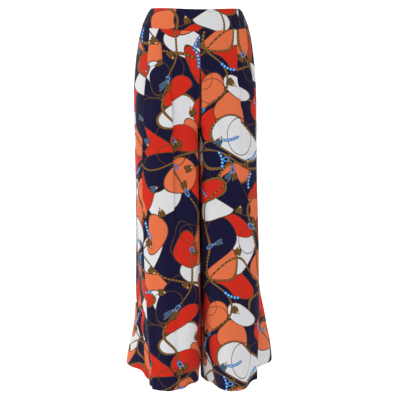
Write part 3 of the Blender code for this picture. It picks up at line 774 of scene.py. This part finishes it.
class Nodes:
    """Short calls that add nodes to a tree."""

    def __init__(self, tree):
        self.tree = tree

    def fill(self, socket, value):
        if isinstance(value, bpy.types.NodeSocket):
            self.tree.links.new(value, socket)
        else:
            socket.default_value = value

    def wire(self, node, **values):
        """Fills a node's inputs by name, where an underscore stands for a space."""
        for name, value in values.items():
            self.fill(node.inputs[name.replace("_", " ")], value)
        return node

    def add(self, kind, *inputs, **settings):
        made = self.tree.nodes.new(f"ShaderNode{kind}")
        for name, value in settings.items():
            setattr(made, name, value)
        for socket, value in zip(made.inputs, inputs):
            self.fill(socket, value)
        return made

    def math(self, operation, *inputs):
        return self.add("Math", *inputs, operation=operation).outputs[0]

    def vector(self, operation, *inputs):
        made = self.add("VectorMath", *inputs, operation=operation)
        return made.outputs["Value" if operation in ("LENGTH", "DOT_PRODUCT") else "Vector"]

    def less(self, value, limit):
        return self.math("LESS_THAN", value, limit)

    def near(self, value, middle, reach):
        return self.math("COMPARE", value, middle, reach)

    def times(self, value, other):
        return self.math("MULTIPLY", value, other)

    def scaled(self, value, by, onto):
        return self.math("MULTIPLY_ADD", value, by, onto)

    def ramp(self, value, stops, smooth=False):
        made = self.add("ValToRGB", value)
        made.color_ramp.interpolation = "LINEAR" if smooth else "CONSTANT"
        marks = made.color_ramp.elements
        while len(marks) < len(stops):
            marks.new(0.5)
        for mark, (place, _) in zip(marks, stops):
            mark.position = place
        for mark, (_, colour) in zip(marks, stops):
            mark.color = colour
        return made.outputs

    def over(self, below, colour, cover):
        made = self.add("Mix", cover, data_type="RGBA")
        self.fill(made.inputs[6], below)
        self.fill(made.inputs[7], colour)
        return made.outputs[2]

    def far(self, x, y):
        return self.vector("LENGTH", self.add("CombineXYZ", x, y, 0.0).outputs[0])

    def way(self, x, y):
        return self.math("ARCTAN2", y, x)

    def less_one(self, value):
        return self.math("SUBTRACT", value, 1.0)

    def twisted(self, off, along, turns, below):
        """A cord of twisted strands: off is the distance from its middle in half widths."""
        wave = self.math("SINE", self.scaled(along, turns, self.times(off, 1.9)))
        strands = self.ramp(self.scaled(wave, 0.5, 0.5),
                            ((0.0, CORD_DARK), (0.35, LEAF_GOLD), (1.0, CORD_GOLD)), smooth=True)
        reach = self.math("ABSOLUTE", off)
        colour = self.over(CORD_DARK, strands[0], self.less(reach, 0.86))
        return self.over(below, colour, self.less(reach, 1.12))

    def place(self, group, **values):
        return self.wire(self.add("Group", node_tree=group), **values).outputs[0]

    def texture(self, kind, where, scale, settings, **values):
        made = self.add(f"Tex{kind}", where, **settings)
        return self.wire(made, Scale=scale, **values).outputs["Fac"]

    def bump(self, height, strength, distance):
        return self.wire(self.add("Bump"), Strength=strength, Distance=distance, Height=height).outputs[0]


def new_group(name, **sockets):
    """A node group that gives a colour, its nodes and what it is given."""
    group = bpy.data.node_groups.new(name, "ShaderNodeTree")
    for socket, kind in sockets.items():
        group.interface.new_socket(socket, in_out="INPUT", socket_type=kind)
    group.interface.new_socket("Colour", in_out="OUTPUT", socket_type=COLOUR)
    return group, Nodes(group), group.nodes.new("NodeGroupInput").outputs


def finished(group, colour):
    """The group, with this as the colour that it gives."""
    group.links.new(colour, group.nodes.new("NodeGroupOutput").inputs[0])
    return group


def motif(build, **extra):
    """A node group that lays a motif over a colour. build gets the motif's own coordinates."""
    name = build.__name__
    group, nodes, given = new_group(name, Cloth=VECTOR, Below=COLOUR, Centre=VECTOR, Across=VECTOR,
                                    Along=VECTOR, **extra)
    from_centre = nodes.vector("SUBTRACT", given["Cloth"], given["Centre"])
    near = nodes.vector("WRAP", from_centre, (REPEAT / 2,) * 3, (-REPEAT / 2,) * 3)
    x, y = (nodes.vector("DOT_PRODUCT", near, given[way]) for way in ("Across", "Along"))
    return finished(group, build(nodes, x, y, given["Below"], *(given[name] for name in extra)))


def area(nodes, x, y, below, fill, inside):
    """A rounded area with a thin outline."""
    far = nodes.far(x, y)
    colour = nodes.over(OUTLINE, fill, nodes.less(far, inside))
    return nodes.over(below, colour, nodes.less(far, 1.0))


def hoop(nodes, x, y, below, half_width):
    """A thin closed line."""
    return nodes.over(below, OUTLINE, nodes.near(nodes.far(x, y), 1.0, half_width))


def cord(nodes, x, y, below, half_width, strands):
    """A closed twisted cord. Its half width is for a ring of size one."""
    off = nodes.math("DIVIDE", nodes.less_one(nodes.far(x, y)), half_width)
    return nodes.twisted(off, nodes.way(x, y), strands, below)


def link(nodes, x, y, below):
    """A small bright ring with a dark edge."""
    colour, cover = nodes.ramp(nodes.times(nodes.far(x, y), EDGE), (
        (0.0, CLEAR), (0.38, DEEP_BLUE), (0.45, BLUE), (0.55, PALE_BLUE), (0.64, BLUE),
        (0.76, DEEP_BLUE), (0.84, CLEAR)))
    return nodes.over(below, colour, cover)


def beads(nodes, x, y, below, radius, half_arc):
    """An arc of round beads. Their radius is for an arc of radius one."""
    way = nodes.way(x, y)
    along = nodes.math("PINGPONG", nodes.math("DIVIDE", way, radius), 1.05)
    across = nodes.math("DIVIDE", nodes.less_one(nodes.far(x, y)), radius)
    colour, cover = nodes.ramp(nodes.times(nodes.far(along, across), EDGE), (
        (0.0, PALE_BLUE), (0.50, BLUE), (0.72, DEEP_BLUE), (0.86, CLEAR)))
    return nodes.over(below, colour, nodes.times(cover, nodes.near(way, 0.0, half_arc)))


def leaf(nodes, x, y, below, fill, other, spread):
    """Fan-shaped leaves with fine ribs on thin stalks: one, or two that part from one place."""
    off = nodes.math("SUBTRACT", nodes.math("ABSOLUTE", nodes.way(x, y)), spread)
    far = nodes.far(x, y)
    across = nodes.times(off, far)
    notch = nodes.scaled(nodes.math("COSINE", nodes.times(off, 14.0)), 0.035, far)

    def fan(reach, half_angle, half_width):
        inside = nodes.times(nodes.near(off, 0.0, half_angle), nodes.near(across, 0.0, half_width))
        return nodes.times(nodes.near(notch, 0.63, reach), inside)

    ribs = nodes.scaled(nodes.math("PINGPONG", nodes.times(off, 7.0), 1.0), -1.5, 1.35)
    fill = nodes.over(fill, other, nodes.less(y, 0.0))
    stalk = nodes.times(nodes.less(far, 0.4), nodes.near(across, 0.0, 0.045))
    below = nodes.over(below, LEAF_DARK, stalk)
    below = nodes.over(below, LEAF_DARK, fan(0.35, 0.56, 0.35))
    below = nodes.over(below, nodes.over(LEAF_DARK, fill, ribs), fan(0.30, 0.48, 0.29))
    bud = nodes.far(nodes.math("SUBTRACT", far, 0.31), across)
    return nodes.over(below, BUD_GOLD, nodes.less(bud, 0.095))


def both_ways(nodes, cloth):
    """How far a place is across the cloth, and up it."""
    return (nodes.vector("DOT_PRODUCT", cloth, way) for way in ((1, 0, 0), (0, 1, 0)))


def wave_group(name, place, sway, waves, phase, upright):
    """A twisted cord that winds right along the cloth."""
    group, nodes, given = new_group(name, Cloth=VECTOR, Below=COLOUR)
    right, up = both_ways(nodes, given["Cloth"])
    along, across = (up, right) if upright else (right, up)
    offset = -place
    for sway_by, wave_by, phase_by in zip(sway, waves, phase):
        swing = nodes.math("SINE", nodes.scaled(along, PER_REPEAT * wave_by, phase_by))
        offset = nodes.scaled(swing, -sway_by, offset)
    away = nodes.math("WRAP", nodes.math("ADD", across, offset), REPEAT / 2, -REPEAT / 2)
    off = nodes.math("DIVIDE", away, CORD_WIDTH / 2)
    turns = round(REPEAT / (STRAND_PITCH * CORD_WIDTH)) * PER_REPEAT
    return finished(group, nodes.twisted(off, along, turns, given["Below"]))


def apart(a, b):
    """The distance between two places on the repeating cloth."""
    return math.hypot(*(min(abs(p - q) % REPEAT, REPEAT - abs(p - q) % REPEAT) for p, q in zip(a, b)))


SEED = 12
AREA_ROWS = 8
AREA_STRAY = 0.33  # in cells
AREA_NEAR = 0.095
AREA_LENGTHS = (0.042, 0.074)
AREA_SLIMNESS = (0.50, 0.84)
AREA_SHARES = {NAVY: 0.32, RED: 0.25, CORAL: 0.23, WHITE: 0.20}


def areas():
    """Rounded areas over the repeat, each unlike the ones that it covers."""
    chance = random.Random(SEED)
    cell = REPEAT / AREA_ROWS
    places = [((i + 0.5 + chance.uniform(-AREA_STRAY, AREA_STRAY)) * cell,
               (j + 0.5 * (i % 2) + chance.uniform(-AREA_STRAY, AREA_STRAY)) * cell)
              for i in range(AREA_ROWS) for j in range(AREA_ROWS)]
    chance.shuffle(places)
    made = []
    for place in places:
        near = [colour for other, colour in made if apart(place, other) < AREA_NEAR]
        score = {colour: share - sum(other == colour for _, other in made) / max(len(made), 1)
                 - 0.35 * near.count(colour) + chance.uniform(0, 0.12)
                 for colour, share in AREA_SHARES.items()}
        colour = max(score, key=score.get)
        made.append((place, colour))
        long = chance.uniform(*AREA_LENGTHS)
        size = (long, long * chance.uniform(*AREA_SLIMNESS))
        yield place, size, chance.uniform(0, math.pi), colour


OUTLINE_WIDTH = 0.0019
CORDED_AREAS = (26, 31, 35, 39, 43, 47, 51, 55, 59)
CORD_WIDTH = 0.0058
WAVE_CORDS = (  # place, sways, waves, phases, upright
    (0.10, (0.040, 0.018), (1, 3), (0.4, 2.0), True),
    (0.26, (0.034, 0.016), (2, 3), (2.2, 4.6), True),
    (0.42, (0.045, 0.018), (1, 2), (3.4, 0.6), True),
    (0.56, (0.030, 0.014), (1, 4), (5.0, 1.0), True),
    (0.30, (0.050, 0.020), (1, 3), (5.2, 1.2), False),
    (0.02, (0.036, 0.014), (2, 3), (1.2, 3.0), False),
)
HOOPS = (  # centre, size, turn
    ((0.08, 0.42), (0.034, 0.026), 0.4),
    ((0.36, 0.12), (0.028, 0.036), 0.0),
    ((0.52, 0.33), (0.056, 0.034), 1.1),
    ((0.24, 0.55), (0.026, 0.026), 0.0),
    ((0.26, 0.52), (0.038, 0.030), 0.5),
    ((0.47, 0.18), (0.044, 0.030), 2.0),
    ((0.16, 0.22), (0.060, 0.040), 2.5),
    ((0.02, 0.27), (0.030, 0.050), 0.3),
    ((0.34, 0.40), (0.050, 0.036), 1.7),
    ((0.45, 0.56), (0.040, 0.052), 0.9),
    ((0.13, 0.02), (0.048, 0.028), 0.2),
)
BEAD_RADIUS = 0.0044
BEAD_ARCS = (  # centre, radius, turn, half arc
    ((0.20, 0.20), 0.060, 1.2, 0.46),
    ((0.47, 0.50), 0.070, 3.6, 0.38),
    ((0.36, 0.38), 0.045, 5.2, 0.58),
    ((0.02, 0.05), 0.060, 2.4, 0.45),
    ((0.56, 0.27), 0.090, 0.6, 0.30),
    ((0.33, 0.02), 0.055, 4.3, 0.46),
    ((0.13, 0.46), 0.080, 5.9, 0.32),
    ((0.41, 0.27), 0.048, 2.9, 0.50),
    ((0.24, 0.33), 0.050, 0.2, 0.50),
    ((0.55, 0.06), 0.065, 1.9, 0.40),
    ((0.08, 0.27), 0.055, 3.1, 0.46),
    ((0.30, 0.45), 0.060, 4.9, 0.42),
)
KNOTS = (  # cord, place along it, turn of the leaves that hang there, their colours, how far they part
    (0, 0.05, -1.9, LEAF_GOLD, LEAF_GOLD, 0.56),
    (0, 0.21, -0.9, DULL_BLUE, LEAF_GOLD, 0.52),
    (0, 0.37, 3.6, LEAF_GOLD, LEAF_GOLD, 0.0),
    (0, 0.52, 1.1, LEAF_GOLD, DULL_BLUE, 0.0),
    (1, 0.10, 0.3, DULL_BLUE, DULL_BLUE, 0.0),
    (1, 0.30, -1.4, LEAF_GOLD, DULL_BLUE, 0.50),
    (1, 0.47, 2.7, LEAF_GOLD, LEAF_GOLD, 0.0),
    (2, 0.02, -2.3, LEAF_GOLD, LEAF_GOLD, 0.0),
    (2, 0.17, 0.1, LEAF_GOLD, LEAF_GOLD, 0.54),
    (2, 0.34, -1.0, DULL_BLUE, LEAF_GOLD, 0.0),
    (2, 0.50, 2.2, LEAF_GOLD, DULL_BLUE, 0.52),
    (3, 0.12, -1.7, DULL_BLUE, LEAF_GOLD, 0.50),
    (3, 0.27, 2.9, LEAF_GOLD, LEAF_GOLD, 0.0),
    (3, 0.44, -0.6, LEAF_GOLD, LEAF_GOLD, 0.55),
)
LEAVES = (  # centre, turn, colour
    ((0.07, 0.15), -2.0, LEAF_GOLD),
    ((0.18, 0.31), 0.6, LEAF_GOLD),
    ((0.34, 0.22), -1.9, LEAF_GOLD),
    ((0.50, 0.41), -0.9, DULL_BLUE),
    ((0.33, 0.53), 2.4, LEAF_GOLD),
    ((0.49, 0.07), -1.3, LEAF_GOLD),
    ((0.20, 0.04), 1.3, DULL_BLUE),
    ((0.02, 0.58), 1.9, LEAF_GOLD),
    ((0.17, 0.55), -0.4, DULL_BLUE),
)
LEAF_LENGTH = 0.029
LOOSE_LEAVES = 14
LOOSE_APART = 0.056  # the least between leaves' middles
LINK_SIZE = (0.0092, 0.0074)
FREE_LINKS = ((0.30, 0.34), (0.11, 0.60), (0.50, 0.22))
HOOP_HALF_WIDTH = 0.0008
STRAND_PITCH = 1.3  # in widths of the cord


def along_cord(cord, along):
    """The place on an upright cord, this far along it."""
    place, sway, waves, phase, _ = WAVE_CORDS[cord]
    across = place + sum(reach * math.sin(PER_REPEAT * count * along + shift)
                         for reach, count, shift in zip(sway, waves, phase))
    return across, along


def middle_of_leaf(centre, turn):
    return tuple(place + 0.65 * LEAF_LENGTH * way(turn) for place, way in zip(centre, (math.cos, math.sin)))


def loose_leaves():
    """More leaves, scattered over the repeat clear of the others."""
    chance = random.Random(SEED)
    taken = [middle_of_leaf(centre, turn) for centre, turn, _ in LEAVES]
    taken += [middle_of_leaf(along_cord(cord, along), turn) for cord, along, turn, *_ in KNOTS]
    while len(taken) < len(LEAVES) + len(KNOTS) + LOOSE_LEAVES:
        centre, turn = (chance.uniform(0, REPEAT), chance.uniform(0, REPEAT)), chance.uniform(0, FULL_TURN)
        middle = middle_of_leaf(centre, turn)
        if min(apart(middle, other) for other in taken) > LOOSE_APART:
            taken.append(middle)
            yield centre, turn, DULL_BLUE if len(taken) % 4 == 0 else LEAF_GOLD


def print_group():
    """The print's colour at a place on the cloth, as one node group."""
    an_area = motif(area, Fill=COLOUR, Inside=NUMBER)
    a_hoop = motif(hoop, Inside=NUMBER)
    a_cord = motif(cord, Inside=NUMBER, Strands=NUMBER)
    a_link = motif(link)
    some_beads = motif(beads, Inside=NUMBER, Strands=NUMBER)
    a_leaf = motif(leaf, Fill=COLOUR, Other=COLOUR, Spread=NUMBER)
    group, nodes, (cloth, *_) = new_group("print", Cloth=VECTOR)
    across, up = both_ways(nodes, cloth)

    def swing(along, waves, phase, reach, onto=0.0):
        return nodes.scaled(nodes.math("SINE", nodes.scaled(along, waves * PER_REPEAT, phase)), reach, onto)

    bend_x = swing(across, 5, 2.0, 0.004, swing(up, 3, 0.7, 0.013))
    bend_y = swing(up, 5, 0.3, 0.004, swing(across, 3, 1.9, 0.014))
    bent = nodes.vector("ADD", cloth, nodes.add("CombineXYZ", bend_x, bend_y, 0.0).outputs[0])
    colour = NAVY  # laid on from the ground up

    def lay(kind, centre, size, turn, on=cloth, **values):
        cos, sin = math.cos(turn), math.sin(turn)
        return nodes.place(kind, Cloth=on, Below=colour, Centre=(*centre, 0.0),
                           Across=(cos / size[0], sin / size[0], 0.0),
                           Along=(-sin / size[1], cos / size[1], 0.0), **values)

    for number, (centre, size, turn, fill) in enumerate(areas()):
        colour = lay(an_area, centre, size, turn, bent, Fill=fill, Inside=1 - OUTLINE_WIDTH / min(size))
        if number in CORDED_AREAS:
            mean = sum(size) / 2
            strands = round(FULL_TURN * mean / (STRAND_PITCH * CORD_WIDTH))
            colour = lay(a_cord, centre, size, turn, bent, Inside=CORD_WIDTH / 2 / mean, Strands=strands)
    for number, wave in enumerate(WAVE_CORDS):
        colour = nodes.place(wave_group(f"wave {number}", *wave), Cloth=bent, Below=colour)
    for centre, size, turn in HOOPS:
        colour = lay(a_hoop, centre, size, turn, Inside=HOOP_HALF_WIDTH / min(size))
    for centre, radius, turn, arc in BEAD_ARCS:
        colour = lay(some_beads, centre, (radius, radius), turn, Inside=BEAD_RADIUS / radius, Strands=arc)
    fan = (LEAF_LENGTH, LEAF_LENGTH)
    for centre, turn, fill in (*LEAVES, *loose_leaves()):
        colour = lay(a_leaf, centre, fan, turn, Fill=fill, Other=fill, Spread=0.0)
    for number, along, turn, fill, other, spread in KNOTS:
        centre = along_cord(number, along)
        other = other if spread else fill
        colour = lay(a_leaf, centre, fan, turn, bent, Fill=fill, Other=other, Spread=spread)
        colour = lay(a_link, centre, LINK_SIZE, turn, bent)
    for centre in FREE_LINKS:
        colour = lay(a_link, centre, LINK_SIZE, 0.0)
    return finished(group, colour)


FLAT_NOISE = {"noise_dimensions": "2D"}


def bands(direction):
    return {"wave_type": "BANDS", "bands_direction": direction}


def new_look(name, **values):
    """A material, its nodes, and its shader with these values."""
    made = bpy.data.materials.new(name)
    made.use_nodes = True
    nodes = Nodes(made.node_tree)
    return made, nodes, nodes.wire(made.node_tree.nodes["Principled BSDF"], **values)


def crepe_material(name, printed, wrong_side=False):
    """Printed crepe: the print, a fine pebbled grain and a soft bloom at grazing angles."""
    made, nodes, shader = new_look(name, Specular_IOR_Level=0.12, Sheen_Weight=0.03, Sheen_Roughness=0.5)
    cloth = nodes.add("UVMap", uv_map="cloth").outputs[0]
    grain = nodes.texture("Noise", cloth, 1500.0, FLAT_NOISE, Detail=2.0)
    twill = nodes.texture("Wave", cloth, 420.0, bands("DIAGONAL"), Distortion=1.5)
    uneven = nodes.texture("Noise", cloth, 38.0, FLAT_NOISE)
    tone = nodes.scaled(uneven, 0.07, nodes.scaled(grain, 0.16, 0.88))
    toned = nodes.add("VectorMath", nodes.place(printed, Cloth=cloth), operation="SCALE")
    shade = nodes.wire(toned, Scale=tone).outputs[0]
    if wrong_side:
        shade = nodes.over(shade, WRONG_SIDE, WRONG_SIDE_SHARE)
    nodes.wire(shader, Base_Color=shade, Roughness=nodes.scaled(grain, 0.14, 0.66),
               Normal=nodes.bump(nodes.scaled(twill, 0.35, grain), 0.35, 0.0004))
    return made


def two_tone(name, dark, light, build, **values):
    """A look of two colours. build gives the light one's share, and what else goes to the shader."""
    made, nodes, shader = new_look(name, **values)
    share, more = build(nodes, nodes.add("TexCoord").outputs["Object"])
    nodes.wire(shader, Base_Color=nodes.over((*dark, 1.0), (*light, 1.0), share), **more)
    return made


def twisted_thread(nodes, where):
    return nodes.texture("Wave", where, 2200.0, bands("DIAGONAL")), {}


def woven_tape(nodes, where):
    """Close ribs along it and a fine cross weave."""
    ribs = nodes.texture("Wave", where, 260.0, bands("X"))
    weave = nodes.times(ribs, nodes.texture("Wave", where, 420.0, bands("Z")))
    return weave, {"Normal": nodes.bump(weave, 0.5, 0.0003)}


def cloudy_nylon(nodes, where):
    cloudy = nodes.texture("Noise", where, 700.0, {})
    return cloudy, {"Roughness": nodes.scaled(cloudy, 0.2, 0.26)}


def rubbed_metal(nodes, where):
    """Paint, rubbed a little in small scattered spots."""
    worn = nodes.texture("Noise", where, 900.0, {}, Detail=3.0)
    rub = nodes.ramp(worn, ((0.0, UNRUBBED), (0.62, UNRUBBED), (0.74, RUBBED)), smooth=True)
    return rub[0], {"Roughness": nodes.scaled(worn, 0.25, 0.22)}


# Where each panel was cut from the printed cloth, and the cloth that shows, cut flat
Cut = namedtuple("Cut", ("corner", "width", "length", "area"))
CUTS = {
    "front_left": Cut((0.335, 0.10), 0.38, 0.98, 0.335),
    "front_right": Cut((0.12, 0.38), 0.40, 0.98, 0.337),
    "back_left": Cut((0.50, 0.27), 0.44, 0.99, 0.325),
    "back_right": Cut((0.02, 0.05), 0.40, 0.99, 0.318),
    "waistband_front": Cut((0.30, 0.21), 0.40, 0.059, 0.0214),
    "waistband_back_left": Cut((0.05, 0.16), 0.20, 0.052, 0.0099),
    "waistband_back_right": Cut((0.44, 0.55), 0.20, 0.052, 0.0099),
}


def sewn(name, grid, row, look):
    """Stitches along one row of a panel."""
    outward, _ = outward_of(grid.points)
    return on_garment(stitches(name, grid.points[row], outward[row], look))


def dress():
    printed = print_group()
    face = crepe_material("printed crepe", printed)
    wrong = crepe_material("printed crepe, wrong side", printed, wrong_side=True)
    thread = two_tone("navy thread", (0.006, 0.005, 0.030), (0.018, 0.016, 0.062), twisted_thread,
                      Roughness=0.55, Sheen_Weight=0.2)
    grids = {
        "waistband_front": joined_band(),
        "waistband_back_left": band_grid(1, False),
        "waistband_back_right": band_grid(-1, False),
    }
    for side, word in ((1, "left"), (-1, "right")):
        grids[f"front_{word}"] = panel_grid(side, True)
        grids[f"back_{word}"] = panel_grid(side, False)
    for name, grid in grids.items():
        cut = CUTS[name]
        band = name.startswith("waistband")
        looks = (face, face if band else wrong)
        piece = on_garment(shell(f"{name}_cloth", grid, cut.corner, looks))
        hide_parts(name)
        seam, row = ("topstitch", BAND_STITCH_ROW) if band else ("hem_stitch", HEM_STITCH_ROW)
        stitched = sewn(f"{name}_{seam}", grid, row, thread)
    tape = two_tone("woven zip tape", (0.006, 0.006, 0.024), (0.022, 0.020, 0.070), woven_tape,
                    Roughness=0.8)
    metal = two_tone("painted zip metal", (0.030, 0.030, 0.060), (0.22, 0.21, 0.20), rubbed_metal,
                     Metallic=0.7)
    for name, look in (("zip_tape", tape), ("zip_slider", metal), ("zip_pull", metal)):
        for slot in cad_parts[name].material_slots:
            slot.material = look
    zip_coil(two_tone("zip nylon", (0.012, 0.012, 0.050), (0.034, 0.034, 0.110), cloudy_nylon), thread)


# Camera and studio
CAMERA_AWAY = 2.70
CAMERA_HEIGHT = -0.116
AZIMUTH = math.radians(-7.0)
PITCH = math.radians(7.984)
YAW = math.radians(0.263)
FOCAL_LENGTH = 88.24
FLOOR = -1.750
STUDIO_REACH = 9.0
SWEEP_FROM = 3.6
SWEEP_RADIUS = 1.6
BACKDROP_TOP = 3.6
STUDIO_WHITE = (0.93, 0.93, 0.935, 1.0)
SKY = 0.84
LAMPS = (  # name, watts, size, place, aim
    ("key", 11.0, 1.5, (-2.1, -2.2, 0.7), (0, 0, -0.45)),
    ("side", 14.0, 1.5, (-2.7, -0.5, -0.1), (0, 0, -0.45)),
    ("fill", 2.0, 2.2, (1.8, -2.3, 0.1), (0, 0, -0.5)),
    ("backdrop", 70.0, 3.0, (0.0, 3.2, 2.6), (0, 5.2, -0.4)),
    ("floor", 40.0, 3.0, (0.0, 2.6, 1.8), (0, 2.8, -1.7)),
)


def put(name, data, matrix):
    """Places a camera or a lamp."""
    thing = bpy.data.objects.new(name, data)
    thing.matrix_world = matrix
    bpy.context.scene.collection.objects.link(thing)
    return thing


def set_camera(scene):
    right = Vector((math.cos(AZIMUTH), math.sin(AZIMUTH), 0.0))
    ahead = Vector((-math.sin(AZIMUTH), math.cos(AZIMUTH), 0.0))
    place = Vector((0, 0, CAMERA_HEIGHT)) - CAMERA_AWAY * ahead
    level = ahead * math.cos(YAW) + right * math.sin(YAW)
    right = right * math.cos(YAW) - ahead * math.sin(YAW)
    view = level * math.cos(PITCH) - Vector((0, 0, 1)) * math.sin(PITCH)
    lens = bpy.data.cameras.new("camera")
    lens.lens = FOCAL_LENGTH
    lens.sensor_width = 36.0
    lens.clip_end = 50.0
    turned = Matrix((right, right.cross(view), -view)).transposed().to_4x4()
    scene.camera = put("camera", lens, Matrix.Translation(place) @ turned)


def set_studio(scene):
    """A white floor that sweeps up into a backdrop, a soft sky and lamps."""
    sweep = [(SWEEP_FROM + SWEEP_RADIUS * math.sin(turn), FLOOR + SWEEP_RADIUS * (1 - math.cos(turn)))
             for turn in np.linspace(0, math.pi / 2, 25)]
    profile = [(-STUDIO_REACH, FLOOR), *sweep, (SWEEP_FROM + SWEEP_RADIUS, BACKDROP_TOP)]
    verts = [(x, y, z) for y, z in profile for x in (-STUDIO_REACH, STUDIO_REACH)]
    faces = [(k, k + 1, k + 3, k + 2) for k in range(0, 2 * len(profile) - 2, 2)]
    white = new_look("studio white", Base_Color=STUDIO_WHITE, Roughness=0.9)[0]
    add_mesh("studio_sweep", verts, faces, materials=(white,))
    world = bpy.data.worlds.new("studio")
    world.use_nodes = True
    sky = world.node_tree.nodes["Background"]
    sky.inputs["Color"].default_value = (1.0, 1.0, 1.0, 1.0)
    sky.inputs["Strength"].default_value = SKY
    scene.world = world
    for name, watts, size, place, aim in LAMPS:
        lamp = bpy.data.lights.new(name, "AREA")
        lamp.energy = watts
        lamp.shape = "SQUARE"
        lamp.size = size
        towards = (Vector(aim) - Vector(place)).to_track_quat("-Z", "Y").to_matrix().to_4x4()
        put(name, lamp, Matrix.Translation(place) @ towards)


dress()
bpy.context.scene.view_settings.view_transform = "Standard"
set_camera(bpy.context.scene)
set_studio(bpy.context.scene)
